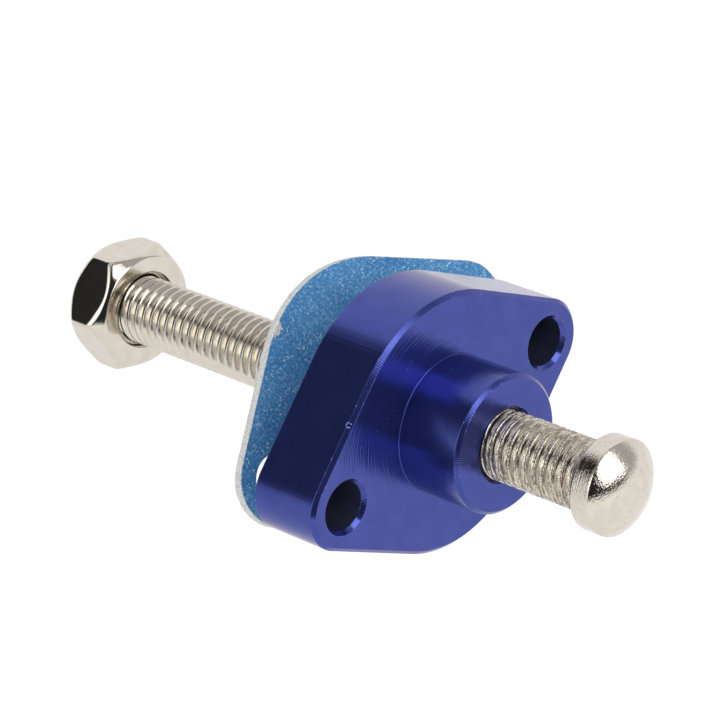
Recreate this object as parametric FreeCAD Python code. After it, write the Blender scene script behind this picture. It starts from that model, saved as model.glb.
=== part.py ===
import FreeCAD, Part
import math
import os

# Manual cam chain tensioner, in millimetres.
# X runs along the adjuster screw towards its domed tip, the two bolt holes lie along Y, and Z is up.
# The origin is on the screw's axis, in the flange face that seats on the engine.

# Flange
bolt_spacing = 33.4
flange_middle_d = 30.0
flange_lobe_r = 5.0
flange_thickness = 8.9
flange_front_chamfer = 0.45
flange_back_chamfer = 0.2
bolt_hole_d = 5.5
bolt_hole_chamfer = 0.45

# Boss that enters the engine
boss_d = 15.8
boss_length = 8.4
boss_chamfer = 0.4

# Adjuster screw, with the shank at the crest diameter of its thread
screw_d = 7.94
screw_running_clearance = 0.05
screw_end_chamfer = 0.7
screw_end_beyond_nut = 1.0
bore_mouth_chamfer = 0.35
slot_width = 1.4
slot_depth = 2.2
collar_standoff = 13.4
collar_d = 10.8
collar_length = 2.6
collar_edge = 0.25
dome_height = 2.15

# Lock nut
nut_standoff = 39.0
nut_across_flats = 13.7
nut_thickness = 6.1
nut_face_d = 12.9
nut_chamfer_deg = 48.0
nut_corner_deg = 46.0
nut_countersink = 0.6

# Gasket, hung on the screw behind the flange
gasket_thickness = 1.2
gasket_margin = 0.2
gasket_boss_clearance = 0.2
gasket_bolt_hole_d = 6.0
gasket_lean_deg = 21.9
gasket_turn_deg = 3.8
gasket_hang_deg = -38.4
gasket_seat_gap = 0.05

# Places along the screw
flange_back = -flange_thickness
collar_back = boss_length + collar_standoff
collar_front = collar_back + collar_length
nut_front = flange_back - nut_standoff
nut_back = nut_front - nut_thickness
screw_end = nut_back - screw_end_beyond_nut
bore_d = screw_d + 2 * screw_running_clearance

X_AXIS = FreeCAD.Vector(1, 0, 0)
Y_AXIS = FreeCAD.Vector(0, 1, 0)
ORIGIN = FreeCAD.Vector(0, 0, 0)
FULL_TURN = 360.0


def in_plane(y, z):
    """A point of the flange face."""
    return FreeCAD.Vector(0, y, z)


def diamond_face(spacing, middle_r, lobe_r):
    """Two lobes and a round middle in the YZ plane, joined by the lines that touch both."""
    half = spacing / 2
    slope = math.asin((middle_r - lobe_r) / half)
    out, up = math.sin(slope), math.cos(slope)
    edges = []
    for side in (1, -1):
        lobe_tip = in_plane(side * (half + lobe_r), 0)
        lobe_low = in_plane(side * (half + lobe_r * out), -side * lobe_r * up)
        lobe_high = in_plane(side * (half + lobe_r * out), side * lobe_r * up)
        middle_near = in_plane(side * middle_r * out, side * middle_r * up)
        middle_top = in_plane(0, side * middle_r)
        middle_far = in_plane(-side * middle_r * out, side * middle_r * up)
        next_lobe = in_plane(-side * (half + lobe_r * out), side * lobe_r * up)
        edges.append(Part.Arc(lobe_low, lobe_tip, lobe_high).toShape())
        edges.append(Part.LineSegment(lobe_high, middle_near).toShape())
        edges.append(Part.Arc(middle_near, middle_top, middle_far).toShape())
        edges.append(Part.LineSegment(middle_far, next_lobe).toShape())
    return Part.Face(Part.Wire(edges))


def turned(points, y=0.0):
    """A solid turned about the line along X at the given Y, from points of (x, radius)."""
    corners = [FreeCAD.Vector(x, y + radius, 0) for x, radius in points]
    profile = Part.Face(Part.makePolygon(corners + corners[:1]))
    return profile.revolve(FreeCAD.Vector(0, y, 0), X_AXIS, FULL_TURN)


def hole(diameter, x_low, x_high, flare, y=0.0):
    """The material taken out by a hole along X with both mouths flared at 45 degrees."""
    radius = diameter / 2
    wide = radius + 2 * flare
    return turned(
        [
            (x_low - flare, 0),
            (x_low - flare, wide),
            (x_low + flare, radius),
            (x_high - flare, radius),
            (x_high + flare, wide),
            (x_high + flare, 0),
        ],
        y,
    )


def flange_body():
    """Diamond flange and round boss, machined in one piece, with the screw's bore and the bolt holes."""
    plate = diamond_face(bolt_spacing, flange_middle_d / 2, flange_lobe_r)
    plate = plate.extrude(FreeCAD.Vector(flange_back, 0, 0))
    front_rim = [edge for edge in plate.Edges if edge.BoundBox.XMin > flange_back / 2]
    plate = plate.makeChamfer(flange_front_chamfer, front_rim)
    back_rim = [edge for edge in plate.Edges if edge.BoundBox.XMax < flange_back / 2]
    plate = plate.makeChamfer(flange_back_chamfer, back_rim)
    boss_r = boss_d / 2
    boss = turned(
        [
            (flange_back / 2, 0),
            (flange_back / 2, boss_r),
            (boss_length - boss_chamfer, boss_r),
            (boss_length, boss_r - boss_chamfer),
            (boss_length, 0),
        ]
    )
    body = plate.fuse(boss).removeSplitter()
    body = body.cut(hole(bore_d, flange_back, boss_length, bore_mouth_chamfer))
    for side in (1, -1):
        body = body.cut(hole(bolt_hole_d, flange_back, 0, bolt_hole_chamfer, side * bolt_spacing / 2))
    return body


def adjuster_screw():
    """Screw and mushroom tip turned in one piece, with a driver slot across the outer end."""
    screw_r = screw_d / 2
    collar_r = collar_d / 2
    tip = FreeCAD.Vector(collar_front + dome_height, 0, 0)
    dome_r = (collar_r**2 + dome_height**2) / (2 * dome_height)
    half_way = math.asin(collar_r / dome_r) / 2
    on_dome = FreeCAD.Vector(tip.x - dome_r * (1 - math.cos(half_way)), dome_r * math.sin(half_way), 0)
    outline = [
        (screw_end, 0),
        (screw_end, screw_r - screw_end_chamfer),
        (screw_end + screw_end_chamfer, screw_r),
        (collar_back, screw_r),
        (collar_back, collar_r - collar_edge),
        (collar_back + collar_edge, collar_r),
        (collar_front, collar_r),
    ]
    points = [FreeCAD.Vector(x, radius, 0) for x, radius in outline]
    edges = [Part.LineSegment(a, b).toShape() for a, b in zip(points, points[1:])]
    edges.append(Part.Arc(points[-1], on_dome, tip).toShape())
    edges.append(Part.LineSegment(tip, points[0]).toShape())
    screw = Part.Face(Part.Wire(edges)).revolve(ORIGIN, X_AXIS, FULL_TURN)
    slot_corner = FreeCAD.Vector(screw_end - slot_depth, -slot_width / 2, -screw_d)
    return screw.cut(Part.makeBox(2 * slot_depth, slot_width, 2 * screw_d, slot_corner))


def lock_nut():
    """Hexagon nut with both faces turned off to a circle and the bore countersunk at both ends."""
    corner_r = nut_across_flats / math.sqrt(3)
    angles = [math.radians(nut_corner_deg + 60 * k) for k in range(6)]
    corners = [FreeCAD.Vector(nut_back, corner_r * math.cos(a), corner_r * math.sin(a)) for a in angles]
    hexagon = Part.Face(Part.makePolygon(corners + corners[:1])).extrude(FreeCAD.Vector(nut_thickness, 0, 0))
    face_r = nut_face_d / 2
    drop = (corner_r - face_r) * math.tan(math.radians(nut_chamfer_deg))
    rounding = turned(
        [
            (nut_back, 0),
            (nut_back, face_r),
            (nut_back + drop, corner_r),
            (nut_front - drop, corner_r),
            (nut_front, face_r),
            (nut_front, 0),
        ]
    )
    return hexagon.common(rounding).cut(hole(bore_d, nut_back, nut_front, nut_countersink))


def gasket_attitude():
    """How the gasket is turned on its own centre and leans back from the flange."""
    return FreeCAD.Rotation(Y_AXIS, -gasket_lean_deg) * FreeCAD.Rotation(X_AXIS, gasket_turn_deg)


def gasket_hang(attitude, eye_r):
    """How far the gasket's centre hangs off the screw's axis, with the rim of its eye on the thread."""
    rim = []
    for degree in range(360):
        angle = math.radians(degree)
        for x in (0, -gasket_thickness):
            rim.append(attitude.multVec(FreeCAD.Vector(x, eye_r * math.cos(angle), eye_r * math.sin(angle))))
    towards_y = math.cos(math.radians(gasket_hang_deg))
    towards_z = math.sin(math.radians(gasket_hang_deg))
    least = screw_d / 2 + gasket_seat_gap
    free, held = 0.0, eye_r
    for _ in range(40):
        middle = (free + held) / 2
        nearest = min(math.hypot(p.y + middle * towards_y, p.z + middle * towards_z) for p in rim)
        if nearest > least:
            free = middle
        else:
            held = middle
    return FreeCAD.Vector(0, free * towards_y, free * towards_z)


def gasket():
    """Fibre sheet with the flange's outline, hung on the screw and leaning on the flange's back."""
    flange_r = flange_middle_d / 2
    eye_r = boss_d / 2 + gasket_boss_clearance
    sheet = diamond_face(bolt_spacing, flange_r + gasket_margin, flange_lobe_r + gasket_margin)
    sheet = sheet.extrude(FreeCAD.Vector(-gasket_thickness, 0, 0))
    bolt_r = gasket_bolt_hole_d / 2
    for radius, y in ((eye_r, 0), (bolt_r, bolt_spacing / 2), (bolt_r, -bolt_spacing / 2)):
        back = FreeCAD.Vector(-gasket_thickness, y, 0)
        sheet = sheet.cut(Part.makeCylinder(radius, gasket_thickness, back, X_AXIS))
    attitude = gasket_attitude()
    place = gasket_hang(attitude, eye_r)
    lean = math.radians(gasket_lean_deg)
    rim_below_centre = flange_r - flange_back_chamfer + place.z
    place.x = flange_back - gasket_seat_gap / math.cos(lean) - rim_below_centre * math.tan(lean)
    sheet.Placement = FreeCAD.Placement(place, attitude)
    return sheet


os.makedirs("parts", exist_ok=True)
flange_body().exportStep("parts/flange_body.step")
adjuster_screw().exportStep("parts/adjuster_screw.step")
lock_nut().exportStep("parts/lock_nut.step")
gasket().exportStep("parts/gasket.step")
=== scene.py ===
import math

import bmesh
import bpy
from mathutils import Matrix, Quaternion, Vector, noise


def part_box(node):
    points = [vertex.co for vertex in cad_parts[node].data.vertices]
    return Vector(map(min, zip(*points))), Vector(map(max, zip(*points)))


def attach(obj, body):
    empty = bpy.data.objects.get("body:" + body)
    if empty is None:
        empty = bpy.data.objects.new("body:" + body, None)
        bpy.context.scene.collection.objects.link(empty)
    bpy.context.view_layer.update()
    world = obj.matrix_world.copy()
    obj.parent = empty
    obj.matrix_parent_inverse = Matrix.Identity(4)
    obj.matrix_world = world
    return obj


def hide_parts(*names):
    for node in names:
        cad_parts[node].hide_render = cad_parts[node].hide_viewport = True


# The looks of a manual cam chain tensioner: an anodised flange body, a plated adjuster screw, its lock nut
# and a loose fibre gasket. Pieces are drawn in millimetres, and MM brings them to metres.

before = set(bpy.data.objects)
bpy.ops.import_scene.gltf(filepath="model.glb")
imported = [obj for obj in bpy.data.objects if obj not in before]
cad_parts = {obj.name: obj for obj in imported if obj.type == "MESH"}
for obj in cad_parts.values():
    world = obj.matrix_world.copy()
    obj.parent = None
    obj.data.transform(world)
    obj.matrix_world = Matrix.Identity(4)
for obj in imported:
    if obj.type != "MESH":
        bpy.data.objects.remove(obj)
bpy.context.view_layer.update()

MM = 0.001
FULL_TURN = 2 * math.pi


def ends_along_screw(node):
    """Where a node of the frame begins and ends along X, in millimetres."""
    low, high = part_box(node)
    return low.x / MM, high.x / MM


# Places along the screw, from the frame
flange_back, boss_length = ends_along_screw("flange_body")
screw_end, tip_end = ends_along_screw("adjuster_screw")
nut_back, nut_front = ends_along_screw("lock_nut")

# Flange
bolt_spacing = 33.4
flange_middle_r = 15.0
flange_lobe_r = 5.0
flange_front_chamfer = 0.45
flange_back_chamfer = 0.2
bolt_hole_r = 2.75
bolt_hole_chamfer = 0.45
machined_ease = 0.035
worn_and_highlit_band = 1.5 * machined_ease
nick_place = (-0.36, -13.37, 8.62)
nick_r = 0.27
burr_place = (-0.2, -16.4, -2.6)
burr_reach = 0.9

# Boss
boss_r = 7.9
boss_chamfer = 0.4
boss_root_fillet = 0.08
boss_foot_ring = 0.8

# Adjuster screw and the bore that it runs in
screw_r = 3.97
running_clearance = 0.05
bore_r = screw_r + running_clearance
bore_mouth_chamfer = 0.35
screw_end_chamfer = 0.7
slot_width = 1.4
slot_depth = 2.2
collar_r = 5.4
collar_length = 2.6
collar_edge = 0.25
collar_ease = 0.12
dome_height = 2.15
dome_edge_ease = 0.14
dome_share = 0.93
collar_front = tip_end - dome_height
collar_back = collar_front - collar_length

# Thread, clean at the nut and torn by the die towards the tip
thread_pitch = 1.25
thread_depth = 0.68
torn_from = -2.0
torn_to = 7.0
torn_short_of_collar = 0.3
tear_floor = 0.015
tear_depth = 0.06
tear_sway = 0.05
clean_tear_share = 0.05
thread_into_collar = 0.1
broad_tears_along = 1.9
broad_tears_round = 6.0
fine_tears_along = 4.0
fine_tears_round = 15.0
fine_tear_share = 0.6
depth_seed = 0.0
sway_seed = 7.0
torn_skin_low = 0.27
torn_skin_high = 0.15
# Painted shade in the torn thread's roots: full below the first depth, gone above the second
root_shade_low = 0.585
root_shade_high = 0.50

# The thread's form, as shares of the pitch and of the depth
clean_crest = 0.135
torn_crest = 0.225
crest_edge_depth = 0.08
torn_fold = 0.15
torn_root = 0.86
root_edge = 0.37
root_edge_depth = 0.91
root_shoulder = 0.43
root_shoulder_depth = 0.985

# Points on the thread's crest, as shares of the crest and of its fold
crest_top = 0.78
fold_shoulder = 0.39
fold_shoulder_depth = 0.6

# Lock nut
nut_apothem = 6.85
nut_face_r = 6.45
nut_chamfer_deg = 48.0
nut_corner_deg = 46.0
nut_corner_round = 0.55
nut_edge_ease = 0.42
nut_face_ease = 0.2
nut_countersink = 0.6
nut_countersink_ease = 0.1
nut_recess_share = 0.8
nut_bore_shown = 1.2

# Gasket
gasket_thickness = 1.2
gasket_margin = 0.2
gasket_boss_clearance = 0.2
gasket_eye_r = boss_r + gasket_boss_clearance
gasket_bolt_hole_r = 3.0
gasket_lean_deg = 21.9
gasket_turn_deg = 3.8
gasket_rim_width = 0.95
gasket_edge_down = 0.16
gasket_edge_in = 0.12
gasket_edge_middle_down = 0.05
gasket_edge_middle_in = 0.04
gasket_waist = 0.02
gasket_rim_near = 0.3
gasket_rim_far = 0.6
fray_depth = 0.035
fray_fineness = 1.3
fray_seed = 3.1
fine_fray_depth = 0.02
fine_fray_fineness = 4.5
fine_fray_seed = 8.4
chip_place = (-6.9, 13.6)
chip_size = 0.95

# Tool marks on the flange body: heights in millimetres, and painted shade along the marks as a share of the
# dye
facing_feed = 0.25
facing_ring_height = 0.006
facing_waviness = 0.03
facing_darkening = 0.25
boss_chatter_count = 180
rim_chatter_count = 340
chatter_height = 0.0075
chatter_waviness = 0.003
boss_chatter_reach = 2.0
chatter_fades_from = 14.5
chatter_fades_to = 17.5
chatter_lost_at_lobes = 0.75
turning_height = 0.016
turning_darkening = 0.16
milling_height = 0.024
milling_darkening = 0.1

# Colours of the anodised aluminium, as red, green and blue
dye_deep = (0.050, 0.070, 0.31)
dye_light = (0.058, 0.080, 0.34)
# Painted shade: the darker blue laid along the tool marks for the light and shade of their grooves
marks_painted_shade = (0.016, 0.022, 0.15)
# Partly wear and partly painted highlight: the pale blue of the nick, the burrs and the eased edges, where
# it also brightens their highlight lines
rubbed_dye_and_edge_highlight = (0.36, 0.38, 0.80)
dust_on_dye = (0.34, 0.37, 0.62)
# Painted shade: the near-black blues of the hole walls, standing for the shade inside the drilled holes
hole_painted_shade_dark = (0.012, 0.014, 0.028)
hole_painted_shade_blue = (0.030, 0.033, 0.070)
anodised_tint = (1.0, 0.96, 0.93, 1.0)

# Colours of the nickel plate
nickel_dull = (0.645, 0.595, 0.52)
nickel_bright = (0.69, 0.645, 0.575)
torn_hollow = (0.11, 0.095, 0.075)
torn_ridge = (0.76, 0.69, 0.58)
# Painted shade in the thread's roots
root_painted_shade = (0.34, 0.28, 0.21)
pit_dark = (0.13, 0.11, 0.09)
# Painted shade in the nut's countersinks and bore
recess_shade_dark = (0.06, 0.055, 0.05)
recess_shade_light = (0.20, 0.18, 0.155)

# Colours of the fibre sheet
fibre_deep = (0.041, 0.214, 0.50)
fibre_light = (0.083, 0.305, 0.585)
fibre_lump = (0.285, 0.53, 0.73)
fibre_hollow = (0.026, 0.13, 0.33)
fibre_fleck = (0.66, 0.92, 1.0)
core_grey = (0.46, 0.48, 0.47)
core_pale = (0.84, 0.85, 0.83)

# Camera, its place in millimetres, fitted to the photograph
camera_place = (252.673, -219.343, 234.857)
camera_azimuth_deg = -39.63426
camera_elevation_deg = 33.81475
camera_roll_deg = -13.60386
camera_lens = 188.053
camera_sensor = 36.0

# Studio, in metres, with its brightness against white
white = (1.0, 1.0, 1.0, 1.0)
sweep_azimuth_deg = 128.5
room_level = 0.024
right_gap_level = 0.50
sweep_level = 1.0
left_wall_level = 1.0
left_lamp_level = 2.4
overhead_level = 0.7
softbox_distance = 0.55
floor_height = -0.060
floor_middle = -0.55
floor_reach = 0.92
floor_grey = (0.86, 0.86, 0.86, 1.0)
floor_glow = 1.25
floor_glow_seen = 0.55
floor_glow_mirrored = 0.42

# Fineness of the meshes
LOBE_STEPS = 40
MIDDLE_STEPS = 64
ROUND_STEPS = 144
HOLE_STEPS = 72
THREAD_STEPS = 84
DOME_STEPS = 28
NUT_FLAT_STEPS = 14
NUT_CORNER_STEPS = 10
FLOOR_STEPS = 96

# Points of the thread's form on its crest, and in all
CREST_ROWS = 7
PITCH_ROWS = 14

# Places closer than this along an axis count as level, and closer than SAME as one place
LEVEL = 1e-6
SAME = 1e-4


# Shader arithmetic

class Wire:
    """A node's output that takes part in arithmetic, each sign adding a Math node."""

    def __init__(self, tree, socket):
        self.tree = tree
        self.socket = socket

    def out(self, name):
        """Another output of the same node."""
        return Wire(self.tree, self.socket.node.outputs[name])

    def math(self, operation, first, second=0.0):
        return self.tree.add("ShaderNodeMath", {"operation": operation}, {0: first, 1: second})

    def __add__(self, other):
        return self.math("ADD", self, other)

    def __radd__(self, other):
        return self.math("ADD", other, self)

    def __sub__(self, other):
        return self.math("SUBTRACT", self, other)

    def __rsub__(self, other):
        return self.math("SUBTRACT", other, self)

    def __mul__(self, other):
        return self.math("MULTIPLY", self, other)

    def __rmul__(self, other):
        return self.math("MULTIPLY", other, self)

    def __truediv__(self, other):
        return self.math("DIVIDE", self, other)

    def __rtruediv__(self, other):
        return self.math("DIVIDE", other, self)

    def __pow__(self, other):
        return self.math("POWER", self, other)

    def __rpow__(self, other):
        return self.math("POWER", other, self)

    def __gt__(self, other):
        return self.math("GREATER_THAN", self, other)

    def __lt__(self, other):
        return self.math("LESS_THAN", self, other)

    def sine(self):
        return self.math("SINE", self)

    def absolute(self):
        return self.math("ABSOLUTE", self)

    def larger(self, other):
        return self.math("MAXIMUM", self, other)

    def rise(self, low, high):
        """0 below low, 1 above high, and a smooth rise between."""
        return self.tree.add(
            "ShaderNodeMapRange",
            {"interpolation_type": "SMOOTHSTEP"},
            {"Value": self, "From Min": low, "From Max": high},
        )


class Tree:
    """The nodes of one finish, of the floor or of the surroundings."""

    def __init__(self, owner):
        owner.use_nodes = True
        self.nodes = owner.node_tree.nodes
        self.links = owner.node_tree.links
        self.nodes.clear()

    def add(self, kind, settings=None, sockets=None, output=0):
        """A node of that kind, with its settings made first, then its sockets set or linked."""
        node = self.nodes.new(kind)
        for name, value in (settings or {}).items():
            setattr(node, name, value)
        for name, value in (sockets or {}).items():
            if isinstance(value, Wire):
                self.links.new(value.socket, node.inputs[name])
            else:
                node.inputs[name].default_value = value
        return Wire(self, node.outputs[output]) if len(node.outputs) else None

    def colour(self, share, first, second):
        """A colour between two, each a Wire or red, green and blue."""
        ends = [end if isinstance(end, Wire) else (*end, 1.0) for end in (first, second)]
        settings = {"data_type": "RGBA", "clamp_factor": True}
        return self.add("ShaderNodeMix", settings, {0: share, 6: ends[0], 7: ends[1]}, 2)

    def place(self):
        """The point on the piece, in millimetres."""
        point = self.add("ShaderNodeTexCoord", output="Object")
        return self.add("ShaderNodeVectorMath", {"operation": "SCALE"}, {0: point, "Scale": 1 / MM})

    def stretched(self, place, scale, turn):
        """The point turned, then scaled along each axis."""
        return self.add("ShaderNodeMapping", {"vector_type": "TEXTURE"}, {
            "Vector": place,
            "Rotation": turn,
            "Scale": tuple(1 / share for share in scale),
        })

    def cloud(self, place, scale, detail=2.0, roughness=0.5):
        """Soft noise from 0 to 1."""
        sockets = {"Vector": place, "Scale": scale, "Detail": detail, "Roughness": roughness}
        return self.add("ShaderNodeTexNoise", None, sockets)

    def specks(self, place, scale, small, large, share):
        """Round specks between two radii, as parts of a cell, in that share of a random pattern's cells."""
        cells = self.add("ShaderNodeTexVoronoi", None, {"Vector": place, "Scale": scale})
        chance = self.add("ShaderNodeSeparateColor", None, {"Color": cells.out("Color")})
        return (1 - cells.rise(small, large)) * (chance < share)

    def relief(self, height):
        """A bumped normal from a height in millimetres."""
        return self.add("ShaderNodeBump", None, {"Strength": 1.0, "Distance": MM, "Height": height})

    def surface(self, **sockets):
        """The finish itself: sockets named in plain words, varying ones as Wires."""
        shader = self.add("ShaderNodeBsdfPrincipled", None, {
            name.replace("_", " "): value for name, value in sockets.items()
        })
        self.add("ShaderNodeOutputMaterial", None, {"Surface": shader})


def finish(name):
    """A new material and its empty tree."""
    material = bpy.data.materials.new(name)
    return material, Tree(material)


# Finishes

def polar(tree, place):
    """Along the screw's axis and out from it, in millimetres, and the angle round it."""
    parts = tree.add("ShaderNodeSeparateXYZ", None, {"Vector": place})
    y, z = parts.out("Y"), parts.out("Z")
    return parts.out("X"), (y * y + z * z) ** 0.5, y.math("ARCTAN2", z, y)


def along_line(tree, value):
    """A point on a line, for noise that varies one way only."""
    return tree.add("ShaderNodeCombineXYZ", None, {"X": value})


def along_thread(tree, place, fine, drawn_out):
    """The point for noise in lines round the axis: that fine along X, and drawn out round it."""
    along, out, _ = polar(tree, place)
    parts = tree.add("ShaderNodeSeparateXYZ", None, {"Vector": place})
    return tree.add("ShaderNodeCombineXYZ", None, {
        "X": along * fine,
        "Y": parts.out("Y") / out * drawn_out,
        "Z": parts.out("Z") / out * drawn_out,
    })


def distance_to(tree, place, point):
    """How far the surface is from a point, in millimetres."""
    return tree.add("ShaderNodeVectorMath", {"operation": "DISTANCE"}, {0: place, 1: point}, "Value")


def faced_marks(tree, place):
    """Fine rings that the facing tool left round the axis, as a height and how much painted shade darkens
    the dye along them.
    """
    _, out, _ = polar(tree, place)
    uneven = tree.cloud(along_line(tree, out), scale=2.3, detail=3.0)
    rings = (out * (FULL_TURN / facing_feed)).sine()
    height = rings * (uneven * facing_ring_height) + uneven * facing_waviness
    return height, rings.rise(-1.0, 1.0) * uneven * facing_darkening


def chatter_marks(tree, place):
    """Short marks across the chamfers, round the axis, as a height and a painted shade along them. They are
    finer on the rim than on the boss, and faint out at the lobes."""
    _, out, angle = polar(tree, place)
    left = 1 - out.rise(chatter_fades_from, chatter_fades_to) * chatter_lost_at_lobes
    beat = tree.cloud(along_line(tree, angle * 40.0), scale=1.0, detail=3.0) * left
    off_boss = out > boss_r + boss_chatter_reach
    ticks = (angle * (off_boss * (rim_chatter_count - boss_chatter_count) + boss_chatter_count)).sine()
    return ticks * (beat * chatter_height) + beat * chatter_waviness, ticks.rise(-0.3, 0.8) * beat


def turned_marks(tree, place):
    """Lines round the boss from turning, as a height and a painted shade along them."""
    along, _, _ = polar(tree, place)
    line = tree.cloud(along_line(tree, along), scale=5.0, detail=4.0, roughness=0.75)
    return line * turning_height, line.rise(0.35, 0.65) * turning_darkening


def milled_marks(tree, place):
    """Faint lines through the flange's thickness from its side mill, as a height and a painted shade along
    them.
    """
    _, _, angle = polar(tree, place)
    line = tree.cloud(along_line(tree, angle * 15.0), scale=3.0, detail=4.0, roughness=0.65)
    return line * milling_height, line.rise(0.35, 0.65) * milling_darkening


def painted_shade_hole(name):
    """The dull wall of a drilled hole, painted dark as the shade inside the hole."""
    material, tree = finish(name)
    place = tree.place()
    height, lines = turned_marks(tree, place)
    blotches = tree.cloud(place, scale=1.2, detail=3.0)
    tree.surface(
        Base_Color=tree.colour(blotches * 0.8 + lines, hole_painted_shade_dark, hole_painted_shade_blue),
        Roughness=0.5 + blotches * 0.2,
        Specular_IOR_Level=0.12,
        Normal=tree.relief(height),
    )
    return material


def anodised(name, marks, roughness=0.15, wear_and_highlight=0.0):
    """Dyed oxide on aluminium: a deep blue metal under a clear hard skin. The wear share is how much of it
    is made bright, as along edges, partly as rubbed wear and partly as a painted highlight. The flange's one
    nick and the burrs in one hole are here too."""
    material, tree = finish(name)
    place = tree.place()
    patchy = tree.cloud(place, scale=0.35, detail=3.0)
    grain = tree.cloud(place, scale=14.0)
    height, lines = marks(tree, place)
    blue = tree.colour(patchy.rise(0.3, 0.7), dye_deep, dye_light)
    # Painted shade along the tool marks
    blue = tree.colour(lines, blue, marks_painted_shade)
    dust = tree.specks(place, scale=1.3, small=0.03, large=0.07, share=0.16)
    from_nick = distance_to(tree, place, nick_place)
    broken = tree.cloud(place, scale=3.4, detail=1.0).rise(0.46, 0.56)
    nick = (1 - (from_nick - nick_r).absolute().rise(0.02, 0.08)) * broken
    near_burr = 1 - distance_to(tree, place, burr_place).rise(0.6 * burr_reach, burr_reach)
    burr = tree.specks(place, scale=4.5, small=0.15, large=0.3, share=0.5) * near_burr
    # Partly rubbed wear and partly painted highlight: bright patches along the eased edges
    edge_wear_and_highlight = tree.cloud(place, scale=1.6, detail=4.0, roughness=0.75).rise(0.54, 0.74) * wear_and_highlight
    bright = edge_wear_and_highlight.larger(nick).larger(burr)
    dyed = tree.colour(dust * 0.6, blue, dust_on_dye)
    tree.surface(
        Base_Color=tree.colour(bright * 0.8, dyed, rubbed_dye_and_edge_highlight),
        Metallic=0.84 - dust * 0.5 - bright * 0.5,
        Roughness=roughness + (grain - 0.5) * 0.08 + dust * 0.4 + bright * 0.25,
        Normal=tree.relief(height + grain * 0.0006 + (nick + burr) * 0.03),
        Specular_Tint=anodised_tint,
        Coat_Weight=0.12,
        Coat_Roughness=0.08,
        Coat_IOR=1.5,
    )
    return material


def nickel(name, roughness, peel, pitting, turning):
    """Nickel plate over steel: warm bright metal with an uneven skin, turning lines and fine pits. Peel and
    turning are heights in millimetres. The thread's crests get coarse and grey towards the tip, where the
    die tore them."""
    material, tree = finish(name)
    place = tree.place()
    along, out, _ = polar(tree, place)
    before_collar = 1 - along.rise(collar_back - torn_short_of_collar, collar_back)
    coarse = along.rise(torn_from, torn_to) * before_collar
    crest = out.rise(screw_r - torn_skin_low, screw_r - torn_skin_high) * coarse
    root = (1 - out.rise(screw_r - root_shade_low, screw_r - root_shade_high)) * coarse
    cloudy = tree.cloud(place, scale=0.8, detail=3.0)
    skin = tree.cloud(place, scale=4.2, roughness=0.6)
    fine = tree.cloud(place, scale=16.0, roughness=0.6)
    lines = tree.cloud(along_line(tree, along), scale=5.0, roughness=0.6)
    round_thread = along_thread(tree, place, fine=7.0, drawn_out=3.4)
    torn_lines = tree.cloud(round_thread, scale=1.0, detail=3.0, roughness=0.65)
    grains = tree.cloud(place, scale=6.5, roughness=0.6)
    tears = torn_lines * 0.55 + grains * 0.45
    pits = tree.specks(place, scale=2.8, small=0.10, large=0.28, share=0.22) * pitting
    warm = tree.colour(cloudy.rise(0.3, 0.7), nickel_dull, nickel_bright)
    torn = tree.colour(tears.rise(0.42, 0.55), torn_hollow, torn_ridge)
    shade = tree.colour(crest * 0.85, warm, torn)
    # Painted shade: the torn thread's roots darkened for the shade in them
    shade = tree.colour(root * 0.3, shade, root_painted_shade)
    hollows = fine * 0.002 + tears * crest * 0.08 - pits * 0.012
    tree.surface(
        Base_Color=tree.colour(pits * 0.7, shade, pit_dark),
        Metallic=1.0,
        Roughness=roughness + fine * 0.05 + pits * 0.3 + crest * 0.12,
        Normal=tree.relief(skin * (coarse * 0.004 + peel) + lines * turning + hollows),
    )
    return material


def nickel_recess(name):
    """The thin dull plate in the nut's countersinks and bore, painted dark as the shade in them."""
    material, tree = finish(name)
    place = tree.place()
    shade_patches = tree.cloud(place, scale=1.1, detail=3.0)
    tree.surface(
        Base_Color=tree.colour(shade_patches.rise(0.35, 0.7), recess_shade_dark, recess_shade_light),
        Metallic=1.0,
        Roughness=0.3 + shade_patches * 0.2,
        Normal=tree.relief(tree.cloud(place, scale=9.0) * 0.004),
    )
    return material


def fibre(name):
    """Dyed gasket sheet: a mottled blue front with pale fibres, and the bare grey core at the cut edge and
    on the back."""
    material, tree = finish(name)
    place = tree.place()
    clouds = tree.cloud(place, scale=0.30, detail=4.0, roughness=0.6)
    mottle = tree.cloud(place, scale=3.2, detail=3.0, roughness=0.65)
    grains = tree.cloud(place, scale=5.5, roughness=0.6)
    blue = tree.colour(clouds.rise(0.3, 0.7), fibre_deep, fibre_light)
    blue = tree.colour(mottle.rise(0.48, 0.66) * 0.85, blue, fibre_lump)
    blue = tree.colour((1 - grains.rise(0.34, 0.48)) * 0.85, blue, fibre_hollow)
    flecks = tree.specks(place, scale=1.7, small=0.10, large=0.22, share=0.16)
    for turn in (0.4, 1.5, 2.6):
        strands = tree.stretched(place, (1.0, 3.4, 0.8), (turn, 0.0, 0.0))
        flecks = flecks + tree.specks(strands, scale=0.85, small=0.09, large=0.17, share=0.3)
    faces = tree.colour(flecks * 0.9, blue, fibre_fleck)
    dots = tree.cloud(place, scale=6.0, detail=3.0, roughness=0.8)
    core = tree.colour(dots.rise(0.36, 0.6), core_grey, core_pale)
    rim = tree.add("ShaderNodeAttribute", {"attribute_name": "bare"}, output="Fac")
    bare = (rim + (mottle - 0.5) * 0.6).rise(0.42, 0.58)
    tree.surface(
        Base_Color=tree.colour(bare, faces, core),
        Roughness=0.62 + mottle * 0.25,
        Specular_IOR_Level=0.35,
        Normal=tree.relief(mottle * 0.06 + grains * 0.04 + dots * bare * 0.12),
    )
    return material


# Meshes

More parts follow.
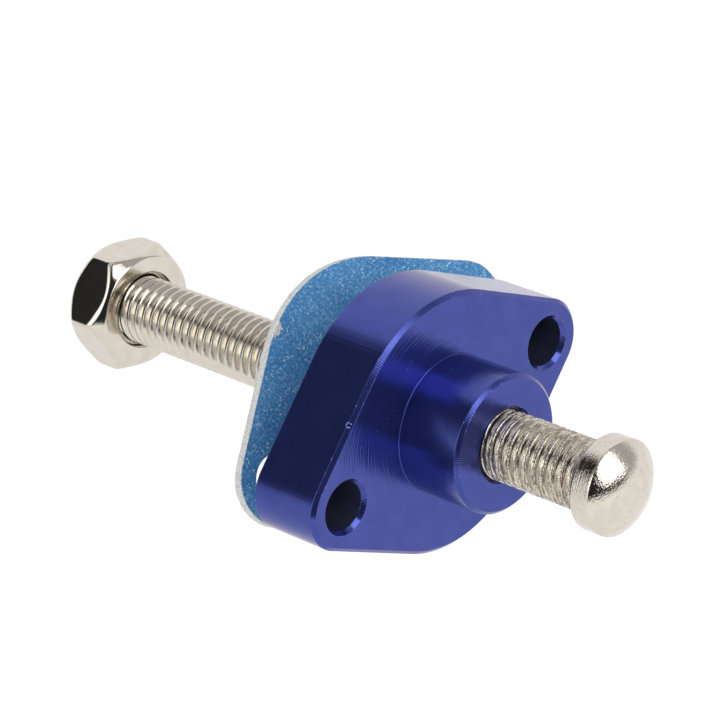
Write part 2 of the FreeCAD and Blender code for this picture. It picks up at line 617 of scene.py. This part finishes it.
def eased(profile, steps=3, most=0.4, hold=0.2):
    """The profile's points, each (x, r, ease), with the corners that have an ease rounded by it, but by no
    more than that share of a run beside it. A point beside each rounding holds the faces next to it flat."""
    points = [Vector(profile[0][:2])]
    for before, corner, after in zip(profile, profile[1:], profile[2:]):
        middle = Vector(corner[:2])
        if not corner[2]:
            points.append(middle)
            continue
        back, onward = Vector(before[:2]) - middle, Vector(after[:2]) - middle
        reach = min(corner[2], most * back.length, most * onward.length)
        start, end = middle + back.normalized() * reach, middle + onward.normalized() * reach
        points.append(start + (start - middle) * hold)
        for step in range(steps + 1):
            share = step / steps
            near, far = start.lerp(middle, share), middle.lerp(end, share)
            points.append(near.lerp(far, share))
        points.append(end + (end - middle) * hold)
    points.append(Vector(profile[-1][:2]))
    return points


def circle(radius, steps, y=0.0):
    """Points round a circle across X, as (y, z)."""
    turns = [FULL_TURN * step / steps for step in range(steps)]
    return [(y + radius * math.cos(turn), radius * math.sin(turn)) for turn in turns]


class Skin:
    """The mesh of one piece while it is drawn, in millimetres."""

    def __init__(self):
        self.drawn = bmesh.new()

    def ring(self, points):
        return [self.drawn.verts.new(point) for point in points]

    def band(self, first, second, finish_index):
        """Quads between two closed rings. Where the rings lie in one plane across X, the quads are flat."""
        level = abs(first[0].co.x - second[0].co.x) < LEVEL
        for index, corner in enumerate(first):
            following = (index + 1) % len(first)
            quad = (corner, first[following], second[following], second[index])
            face = self.drawn.faces.new(quad)
            face.material_index = finish_index
            face.smooth = not level

    def turned(self, points, steps, finishes, y=0.0):
        """Rings round X through the points, joined by bands. The function picks each band's finish by its
        two points."""
        rings = [self.ring((x, *around) for around in circle(radius, steps, y)) for x, radius in points]
        for index in range(len(rings) - 1):
            self.band(rings[index], rings[index + 1], finishes(points[index], points[index + 1]))
        return rings

    def level(self, rings, finish_index):
        """A flat face across X, bounded by the rings."""
        edges = []
        for ring in rings:
            for index, corner in enumerate(ring):
                pair = (corner, ring[(index + 1) % len(ring)])
                edges.append(self.drawn.edges.get(pair) or self.drawn.edges.new(pair))
        made = bmesh.ops.triangle_fill(self.drawn, use_beauty=True, edges=edges, normal=(1, 0, 0))
        for face in made["geom"]:
            if isinstance(face, bmesh.types.BMFace):
                face.material_index = finish_index
                face.smooth = False

    def mesh(self, name):
        """The finished mesh, in metres."""
        bmesh.ops.recalc_face_normals(self.drawn, faces=self.drawn.faces)
        bmesh.ops.scale(self.drawn, vec=(MM, MM, MM), verts=self.drawn.verts)
        made = bpy.data.meshes.new(name)
        self.drawn.to_mesh(made)
        self.drawn.free()
        return made


def put_in_scene(name, mesh, materials, body, node):
    """The piece as an object that rides on its body and stands for its node."""
    for material in materials:
        mesh.materials.append(material)
    piece = bpy.data.objects.new(name, mesh)
    bpy.context.scene.collection.objects.link(piece)
    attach(piece, body)
    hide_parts(node)


# Flange body

def diamond(inset):
    """The flange's outline drawn in by the inset, as (y, z): lobes and middle arcs joined by their
    tangents."""
    half = bolt_spacing / 2
    reach = math.pi / 2 - math.asin((flange_middle_r - flange_lobe_r) / half)
    arcs = [
        (half, flange_lobe_r - inset, -reach, reach, LOBE_STEPS),
        (0, flange_middle_r - inset, reach, math.pi - reach, MIDDLE_STEPS),
        (-half, flange_lobe_r - inset, math.pi - reach, math.pi + reach, LOBE_STEPS),
        (0, flange_middle_r - inset, math.pi + reach, FULL_TURN - reach, MIDDLE_STEPS),
    ]
    points = []
    for centre, radius, start, end, steps in arcs:
        for step in range(steps + 1):
            angle = start + (end - start) * step / steps
            points.append(Vector((centre + radius * math.cos(angle), radius * math.sin(angle))))
    return with_held_runs(points)


def with_held_runs(points, longest=2.0, hold=0.15):
    """The outline with two more points on each long straight run, close to its ends, to keep it flat."""
    held = []
    for index, point in enumerate(points):
        following = points[(index + 1) % len(points)]
        held.append(point)
        run = following - point
        if run.length > longest:
            held.append(point + run.normalized() * hold)
            held.append(following - run.normalized() * hold)
    return held


def flange_body():
    """Diamond flange and boss in one machined piece."""
    side, face, edge, turned_side, bore, worn_and_highlit = range(6)
    skin = Skin()

    def slope_finish(low, high):
        """A chamfer, or the worn rounding beside it, brightened partly as wear and partly as a painted
        highlight.
        """
        return worn_and_highlit if (high - low).length < worn_and_highlit_band else edge

    def rim_finish(low, high):
        if abs(high.y - low.y) < LEVEL:
            return side
        chosen = slope_finish(low, high)
        if chosen == edge and abs(high.x - low.x) < LEVEL:
            return face
        return chosen

    def boss_finish(low, high):
        if max(low.x, high.x) < 2 * boss_root_fillet and min(low.y, high.y) > boss_r - SAME:
            return face
        if abs(high.x - low.x) < LEVEL:
            return face
        if max(low.y, high.y) < bore_r + LEVEL:
            return bore
        return turned_side if abs(high.y - low.y) < LEVEL else slope_finish(low, high)

    def hole_finish(low, high):
        if abs(high.x - low.x) < LEVEL:
            return face
        return bore if abs(high.y - low.y) < LEVEL else slope_finish(low, high)

    rim = eased([
        (flange_back, 3 * flange_back_chamfer, 0),
        (flange_back, flange_back_chamfer, machined_ease),
        (flange_back + flange_back_chamfer, 0, machined_ease),
        (-flange_front_chamfer, 0, machined_ease),
        (0, flange_front_chamfer, machined_ease),
        (0, 2 * flange_front_chamfer, 0),
    ])
    rings = [skin.ring((x, y, z) for y, z in diamond(inset)) for x, inset in rim]
    for index, (low, high) in enumerate(zip(rim, rim[1:])):
        skin.band(rings[index], rings[index + 1], rim_finish(low, high))

    boss = eased([
        (0, boss_r + boss_foot_ring, 0),
        (0, boss_r, boss_root_fillet),
        (boss_length - boss_chamfer, boss_r, machined_ease),
        (boss_length, boss_r - boss_chamfer, machined_ease),
        (boss_length, bore_r + bore_mouth_chamfer, machined_ease),
        (boss_length - bore_mouth_chamfer, bore_r, machined_ease),
        (flange_back + bore_mouth_chamfer, bore_r, machined_ease),
        (flange_back, bore_r + bore_mouth_chamfer, machined_ease),
        (flange_back, bore_r + 3 * bore_mouth_chamfer, 0),
    ])
    boss_rings = skin.turned(boss, ROUND_STEPS, boss_finish)

    bolt_hole = eased([
        (0, bolt_hole_r + 2 * bolt_hole_chamfer, 0),
        (0, bolt_hole_r + bolt_hole_chamfer, machined_ease),
        (-bolt_hole_chamfer, bolt_hole_r, machined_ease),
        (flange_back + bolt_hole_chamfer, bolt_hole_r, machined_ease),
        (flange_back, bolt_hole_r + bolt_hole_chamfer, machined_ease),
        (flange_back, bolt_hole_r + 2 * bolt_hole_chamfer, 0),
    ])
    front_rings, back_rings = [rings[-1], boss_rings[0]], [rings[0], boss_rings[-1]]
    for end in (1, -1):
        hole_rings = skin.turned(bolt_hole, HOLE_STEPS, hole_finish, end * bolt_spacing / 2)
        front_rings.append(hole_rings[0])
        back_rings.append(hole_rings[-1])
    skin.level(front_rings, face)
    skin.level(back_rings, face)
    materials = [
        anodised("anodised_milled_side", milled_marks, roughness=0.13),
        anodised("anodised_faced", faced_marks),
        anodised("anodised_chamfer", chatter_marks),
        anodised("anodised_turned", turned_marks),
        painted_shade_hole("anodised_hole"),
        anodised("anodised_worn_highlit_edge", chatter_marks, roughness=0.2, wear_and_highlight=1.0),
    ]
    put_in_scene(
        "anodised_flange_body", skin.mesh("anodised_flange_body"), materials,
        "body", "flange_body",
    )


# Adjuster screw

def thread_form(torn):
    """One pitch of the thread, as (share of the pitch, share of the depth): crest, flank, root, flank.
    The crest is clean at 0 torn, and wide with a fold along its middle at 1."""
    crest = clean_crest + torn * (torn_crest - clean_crest)
    fold = torn * torn_fold
    root = 1 + torn * (torn_root - 1)
    foot = root_edge_depth * root
    half_crest = [
        (fold_shoulder * crest, fold_shoulder_depth * fold),
        (crest_top * crest, 0.0),
        (crest, crest_edge_depth),
    ]
    half_root = [
        ((crest + root_edge) / 2, (crest_edge_depth + foot) / 2),
        (root_edge, foot),
        (root_shoulder, root_shoulder_depth * root),
    ]
    rising = [(-share, depth) for share, depth in reversed(half_crest)]
    back_up = [(1 - share, depth) for share, depth in reversed(half_root)]
    return rising + [(0.0, fold)] + half_crest + half_root + [(0.5, root)] + back_up


def smooth_rise(value, low, high):
    """0 below low, 1 above high, and a smooth rise between."""
    share = min(max((value - low) / (high - low), 0.0), 1.0)
    return share * share * (3 - 2 * share)


def ragged(x, angle, seed):
    """Uneven tearing along a crest, about -1 to 1: broad tears with finer ones on them."""
    y, z = math.cos(angle), math.sin(angle)
    broad = Vector((x * broad_tears_along + seed, broad_tears_round * y, broad_tears_round * z))
    fine = Vector((x * fine_tears_along + seed, fine_tears_round * y, fine_tears_round * z))
    return noise.noise(broad) + fine_tear_share * noise.noise(fine)


def thread_rows(drawn):
    """Rows of points along the thread, PITCH_ROWS of them to a turn, from beyond the screw's outer end to
    beyond the collar's back."""
    start, end = screw_end - 2 * thread_pitch, collar_back + 2 * thread_pitch
    turns = int((end - start) / thread_pitch)
    rows = [[] for _ in range(turns * PITCH_ROWS)]
    for turn in range(turns):
        for step in range(THREAD_STEPS):
            angle = FULL_TURN * step / THREAD_STEPS
            crest_x = start + thread_pitch * (turn + step / THREAD_STEPS)
            torn = smooth_rise(crest_x, torn_from, torn_to)
            tear_share = clean_tear_share + (1 - clean_tear_share) * torn
            for index, (share, depth) in enumerate(thread_form(torn)):
                x = crest_x + thread_pitch * share
                radius = screw_r - depth * thread_depth
                if index < CREST_ROWS:
                    radius -= tear_share * max(0.0, tear_floor + tear_depth * ragged(x, angle, depth_seed))
                    x += torn * tear_sway * ragged(x, angle, sway_seed)
                radius = min(radius, screw_r - screw_end_chamfer + max(x - screw_end, 0.0))
                corner = drawn.verts.new((x, radius * math.cos(angle), radius * math.sin(angle)))
                rows[turn * PITCH_ROWS + index].append(corner)
    return rows


def join_rows(drawn, rows):
    """Smooth faces between neighbouring rows, and from the end of each turn on to the next."""
    for index, row in enumerate(rows[:-1]):
        upper = rows[index + 1]
        quads = []
        for step in range(THREAD_STEPS - 1):
            quads.append((row[step], row[step + 1], upper[step + 1], upper[step]))
        if index + PITCH_ROWS + 1 < len(rows):
            onward, onward_upper = rows[index + PITCH_ROWS], rows[index + PITCH_ROWS + 1]
            quads.append((row[-1], onward[0], onward_upper[0], upper[-1]))
        for quad in quads:
            drawn.faces.new(quad).smooth = True


def cut_square(drawn, x, across):
    """The thread cut off square at x, on that side, and closed there."""
    everything = drawn.verts[:] + drawn.edges[:] + drawn.faces[:]
    bmesh.ops.bisect_plane(
        drawn, geom=everything, plane_co=(x, 0, 0), plane_no=(across, 0, 0), clear_outer=True
    )
    cut = [edge for edge in drawn.edges if edge.is_boundary and abs(edge.verts[0].co.x - x) < SAME]
    bmesh.ops.holes_fill(drawn, edges=cut, sides=0)


def thread_rod():
    """The threaded rod from the outer end into the collar, with a driver slot across its end."""
    skin = Skin()
    join_rows(skin.drawn, thread_rows(skin.drawn))
    cut_square(skin.drawn, screw_end, -1)
    cut_square(skin.drawn, collar_back + thread_into_collar, 1)
    rod = bpy.data.objects.new("thread_rod", skin.mesh("thread_rod"))
    cutter_skin = Skin()
    size = (2 * slot_depth, slot_width, 4 * screw_r)
    bmesh.ops.create_cube(cutter_skin.drawn, matrix=Matrix.LocRotScale((screw_end, 0, 0), None, size))
    cutter = bpy.data.objects.new("slot_cutter", cutter_skin.mesh("slot_cutter"))
    for made in (rod, cutter):
        bpy.context.scene.collection.objects.link(made)
    cut = rod.modifiers.new("driver_slot", "BOOLEAN")
    cut.operation = "DIFFERENCE"
    cut.solver = "EXACT"
    cut.object = cutter
    slotted = bpy.data.meshes.new_from_object(rod.evaluated_get(bpy.context.evaluated_depsgraph_get()))
    bpy.data.objects.remove(rod)
    bpy.data.objects.remove(cutter)
    return slotted


def mushroom_tip(tip_finish):
    """Collar and dome on the screw's inner end."""
    skin = Skin()
    dome_r = (collar_r**2 + dome_height**2) / (2 * dome_height)
    dome_x = tip_end - dome_r
    dome_start = dome_share * math.asin(collar_r / dome_r)
    profile = eased([
        (collar_back, 0.5 * screw_r, 0),
        (collar_back, collar_r - collar_edge, collar_ease),
        (collar_back + collar_edge, collar_r, collar_ease),
        (collar_front, collar_r, dome_edge_ease),
        (dome_x + dome_r * math.cos(dome_start), dome_r * math.sin(dome_start), 0),
    ], steps=5)
    for step in range(1, DOME_STEPS):
        angle = dome_start * (1 - step / DOME_STEPS)
        profile.append(Vector((dome_x + dome_r * math.cos(angle), dome_r * math.sin(angle))))
    rings = skin.turned(profile, ROUND_STEPS, lambda low, high: tip_finish)
    pole = skin.drawn.verts.new((tip_end, 0, 0))
    for index, corner in enumerate(rings[-1]):
        face = skin.drawn.faces.new((corner, rings[-1][(index + 1) % ROUND_STEPS], pole))
        face.material_index = tip_finish
        face.smooth = True
    skin.level([rings[0]], tip_finish)
    return skin.mesh("mushroom_tip")


def adjuster_screw():
    """Threaded rod and mushroom tip in one piece."""
    materials = [
        nickel("nickel_thread", roughness=0.11, peel=0.004, pitting=0.5, turning=0.004),
        nickel("nickel_tip", roughness=0.08, peel=0.024, pitting=0.8, turning=0.028),
    ]
    whole = bmesh.new()
    for mesh in (thread_rod(), mushroom_tip(1)):
        whole.from_mesh(mesh)
        bpy.data.meshes.remove(mesh)
    mesh = bpy.data.meshes.new("plated_adjuster_screw")
    whole.to_mesh(mesh)
    whole.free()
    put_in_scene(
        "plated_adjuster_screw", mesh, materials, "adjuster", "adjuster_screw"
    )


# Lock nut

def nut_outline():
    """The hexagon with rounded corners, as (angle, radius)."""
    side = FULL_TURN / 6
    round_centre = (nut_apothem - nut_corner_round) / math.cos(side / 2)
    flat_end = math.atan((nut_apothem - nut_corner_round) * math.tan(side / 2) / nut_apothem)
    outline = []
    for corner in range(6):
        middle = math.radians(nut_corner_deg) + side * (corner + 0.5)
        for step in range(NUT_FLAT_STEPS + 1):
            angle = flat_end * (2 * step / NUT_FLAT_STEPS - 1)
            outline.append((middle + angle, nut_apothem / math.cos(angle)))
        turn = side / 2 - flat_end
        for step in range(1, NUT_CORNER_STEPS):
            angle = turn * (2 * step / NUT_CORNER_STEPS - 1)
            sideways = round_centre * math.sin(angle)
            radius = round_centre * math.cos(angle) + math.sqrt(nut_corner_round**2 - sideways**2)
            outline.append((middle + side / 2 + angle, radius))
    return outline


def lock_nut():
    """Hexagon nut with both faces turned off, rounded by its plating."""
    plated, recess = range(2)
    skin = Skin()
    steep = math.tan(math.radians(nut_chamfer_deg))
    spokes = []
    for angle, radius in nut_outline():
        drop = (radius - nut_face_r) * steep
        spoke = eased([
            (nut_front - nut_bore_shown, bore_r, 0),
            (nut_front - nut_countersink, bore_r, 0),
            (nut_front, bore_r + nut_countersink, nut_countersink_ease),
            (nut_front, nut_face_r, nut_face_ease),
            (nut_front - drop, radius, nut_edge_ease),
            (nut_back + drop, radius, nut_edge_ease),
            (nut_back, nut_face_r, nut_face_ease),
            (nut_back, bore_r + nut_countersink, nut_countersink_ease),
            (nut_back + nut_countersink, bore_r, 0),
            (nut_back + nut_bore_shown, bore_r, 0),
        ], steps=5)
        spokes.append([(x, r * math.cos(angle), r * math.sin(angle)) for x, r in spoke])
    rings = [skin.ring(points) for points in zip(*spokes)]
    for index in range(len(rings)):
        skin.band(rings[index], rings[(index + 1) % len(rings)], plated)
    for face in skin.drawn.faces:
        face.smooth = True
        # The countersinks and bore take the finish with painted shade
        if max(corner.co.yz.length for corner in face.verts) < bore_r + nut_recess_share * nut_countersink:
            face.material_index = recess
    materials = [
        nickel("nickel_nut", roughness=0.07, peel=0.006, pitting=0.1, turning=0.0),
        nickel_recess("nickel_nut_recess"),
    ]
    put_in_scene(
        "plated_lock_nut", skin.mesh("plated_lock_nut"), materials,
        "nut", "lock_nut",
    )


# Gasket

def gasket_place():
    """Where the gasket hangs: the centre of its node's box, leaned and turned as it rests there."""
    low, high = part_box("gasket")
    attitude = Matrix.Rotation(math.radians(-gasket_lean_deg), 4, "Y")
    attitude = attitude @ Matrix.Rotation(math.radians(gasket_turn_deg), 4, "X")
    return Matrix.Translation((low + high) / 2) @ attitude


def frayed(y, z):
    """How far the cut edge is frayed in, in millimetres."""
    broad = noise.noise(Vector((y * fray_fineness, z * fray_fineness, fray_seed)))
    fine = noise.noise(Vector((y * fine_fray_fineness, z * fine_fray_fineness, fine_fray_seed)))
    return fray_depth + fray_depth * broad + fine_fray_depth * fine


def gasket():
    """Punched fibre sheet with a frayed edge."""
    skin = Skin()
    bare = skin.drawn.verts.layers.float.new("bare")
    half = gasket_thickness / 2
    chip = Vector(chip_place)

    # The edge from back to front, each point with its place through the thickness, how far in it is and how
    # bare of dye
    edge_profile = [
        (-half, gasket_rim_width, 1.0),
        (-half, gasket_edge_in, 1.0),
        (-half + gasket_edge_middle_down, gasket_edge_middle_in, 1.0),
        (-half + gasket_edge_down, 0.0, 1.0),
        (0, gasket_waist, 1.0),
        (half - gasket_edge_down, 0.0, 1.0),
        (half - gasket_edge_middle_down, gasket_edge_middle_in, 0.8),
        (half, gasket_edge_in, 0.4),
        (half, gasket_rim_near, 0.0),
        (half, gasket_rim_far, 0.0),
        (half, gasket_rim_width, 0.0),
    ]

    def cut_edge(inward_ring):
        """The edge drawn round a ring, which the function gives for each inset."""
        rings = []
        for x, inset, core in edge_profile:
            ring = skin.ring((x, y, z) for y, z in inward_ring(inset))
            for corner in ring:
                near_chip = inset < gasket_rim_width and (corner.co.yz - chip).length < chip_size
                corner[bare] = 1.0 if near_chip else core
            rings.append(ring)
        for low, high in zip(rings, rings[1:]):
            skin.band(low, high, 0)
        return rings[0], rings[-1]

    def outline(inset):
        points = []
        outer, inner = diamond(-gasket_margin), diamond(-gasket_margin + 1.0)
        for point, further in zip(outer, inner):
            points.append(point + (further - point) * (inset + frayed(*point)))
        return points

    def punched(radius, y):
        return lambda inset: circle(radius + inset, ROUND_STEPS, y)

    edges = [cut_edge(outline), cut_edge(punched(gasket_eye_r, 0.0))]
    for end in (1, -1):
        edges.append(cut_edge(punched(gasket_bolt_hole_r, end * bolt_spacing / 2)))
    for side in (0, 1):
        skin.level([pair[side] for pair in edges], 0)
    mesh = skin.mesh("fibre_gasket")
    mesh.transform(gasket_place())
    put_in_scene("fibre_gasket", mesh, [fibre("blue_fibre")], "body", "gasket")


# Studio

def direction(azimuth_deg, elevation_deg):
    """A unit vector: azimuth from +X towards +Y, elevation above the floor."""
    azimuth, elevation = math.radians(azimuth_deg), math.radians(elevation_deg)
    level = math.cos(elevation)
    return Vector((level * math.cos(azimuth), level * math.sin(azimuth), math.sin(elevation)))


def softbox(name, azimuth_deg, wide_deg, low_deg, high_deg, radiance, mirrored):
    """An upright soft light, that wide and from that low to that high as the part sees it. A fill that isn't
    mirrored leaves no highlight on the metal."""
    low, high = (softbox_distance * math.tan(math.radians(elevation)) for elevation in (low_deg, high_deg))
    lamp = bpy.data.lights.new(name, "AREA")
    lamp.shape = "RECTANGLE"
    lamp.size = 2 * softbox_distance * math.tan(math.radians(wide_deg / 2))
    lamp.size_y = high - low
    lamp.energy = 4 * lamp.size * lamp.size_y * radiance
    box = bpy.data.objects.new(name, lamp)
    towards = direction(azimuth_deg, 0.0)
    box.location = towards * softbox_distance + Vector((0, 0, (low + high) / 2))
    box.rotation_mode = "QUATERNION"
    box.rotation_quaternion = towards.to_track_quat("Z", "Y")
    box.visible_camera = False
    box.visible_glossy = mirrored
    bpy.context.scene.collection.objects.link(box)


def surroundings():
    """A white sweep behind the part, a white wall with a lamp on it at its left, a grey gap at its right, a
    dark room and a soft light overhead, with plain white for the camera."""
    world = bpy.data.worlds.new("studio")
    bpy.context.scene.world = world
    tree = Tree(world)
    looking = tree.add("ShaderNodeTexCoord", output="Generated")
    parts = tree.add("ShaderNodeSeparateXYZ", None, {"Vector": looking})
    azimuth = parts.math("ARCTAN2", parts.out("Y"), parts.out("X")) * math.degrees(1.0)
    height = parts.out("Z")
    behind = direction(sweep_azimuth_deg, 0.0)
    facing = tree.add("ShaderNodeVectorMath", {"operation": "DOT_PRODUCT"}, {0: looking, 1: behind}, "Value")

    def between(value, low, high, soft):
        return value.rise(low - soft, low + soft) * (1 - value.rise(high - soft, high + soft))

    def grey(level):
        return (level, level, level)

    below_ceiling = 1 - height.rise(0.78, 0.92)
    left_wall = between(azimuth, low=-132.5, high=-66.0, soft=2.0) * below_ceiling
    lamp_height = between(height, low=0.3, high=0.82, soft=0.1)
    left_lamp = between(azimuth, low=-115.0, high=-74.0, soft=8.0) * lamp_height
    room = grey(room_level)
    for share, level in (
        (between(azimuth, low=27.0, high=72.0, soft=3.0), right_gap_level),
        (facing.rise(0.35, 0.46), sweep_level),
        (left_wall, left_wall_level),
        (left_lamp, left_lamp_level),
        (height.rise(0.86, 0.96), overhead_level),
    ):
        room = tree.colour(share, room, grey(level))
    seen = tree.add("ShaderNodeLightPath", output="Is Camera Ray")
    studio = tree.add("ShaderNodeBackground", None, {"Color": room})
    plain = tree.add("ShaderNodeBackground", None, {"Color": white})
    shown = tree.add("ShaderNodeMixShader", None, {0: seen, 1: studio, 2: plain})
    tree.add("ShaderNodeOutputWorld", None, {"Surface": shown})


def pale_floor():
    """A round pale table. It shows almost white to the camera and in the metal, keeps the part's shadow, and
    can be seen through from below."""
    drawn = bmesh.new()
    bmesh.ops.create_circle(drawn, cap_ends=True, segments=FLOOR_STEPS, radius=floor_reach)
    mesh = bpy.data.meshes.new("pale_floor")
    drawn.to_mesh(mesh)
    drawn.free()
    material, tree = finish("pale_floor")
    path = tree.add("ShaderNodeLightPath", output="Is Camera Ray")
    glowing = path * floor_glow_seen + path.out("Is Glossy Ray") * floor_glow_mirrored
    under = tree.add("ShaderNodeNewGeometry", output="Backfacing")
    matt = tree.add("ShaderNodeBsdfDiffuse", None, {"Color": floor_grey})
    glow = tree.add("ShaderNodeEmission", None, {"Color": white, "Strength": floor_glow})
    lit = tree.add("ShaderNodeMixShader", None, {0: glowing, 1: matt, 2: glow})
    clear = tree.add("ShaderNodeBsdfTransparent")
    shown = tree.add("ShaderNodeMixShader", None, {0: under, 1: lit, 2: clear})
    tree.add("ShaderNodeOutputMaterial", None, {"Surface": shown})
    mesh.materials.append(material)
    floor = bpy.data.objects.new("pale_floor", mesh)
    floor.location = (floor_middle, 0, floor_height)
    bpy.context.scene.collection.objects.link(floor)


def camera():
    """The photograph's view: from the tip's side, above and to the left."""
    lens = bpy.data.cameras.new("camera")
    lens.lens = camera_lens
    lens.sensor_width = camera_sensor
    lens.clip_start = 0.01
    lens.clip_end = 20.0
    view = bpy.data.objects.new("camera", lens)
    towards_camera = direction(camera_azimuth_deg, camera_elevation_deg)
    roll = Quaternion((0, 0, 1), math.radians(camera_roll_deg))
    turn = towards_camera.to_track_quat("Z", "Y") @ roll
    view.matrix_world = Matrix.LocRotScale(Vector(camera_place) * MM, turn, None)
    bpy.context.scene.collection.objects.link(view)
    bpy.context.scene.camera = view


flange_body()
adjuster_screw()
lock_nut()
gasket()
camera()
surroundings()
pale_floor()
softbox(
    "right_softbox", azimuth_deg=8.2, wide_deg=39.5, low_deg=3.0, high_deg=58.0,
    radiance=2.3, mirrored=True,
)
softbox(
    "front_fill", azimuth_deg=-45.0, wide_deg=46.0, low_deg=10.0, high_deg=50.0,
    radiance=1.6, mirrored=False,
)
bpy.context.scene.view_settings.view_transform = "Standard"
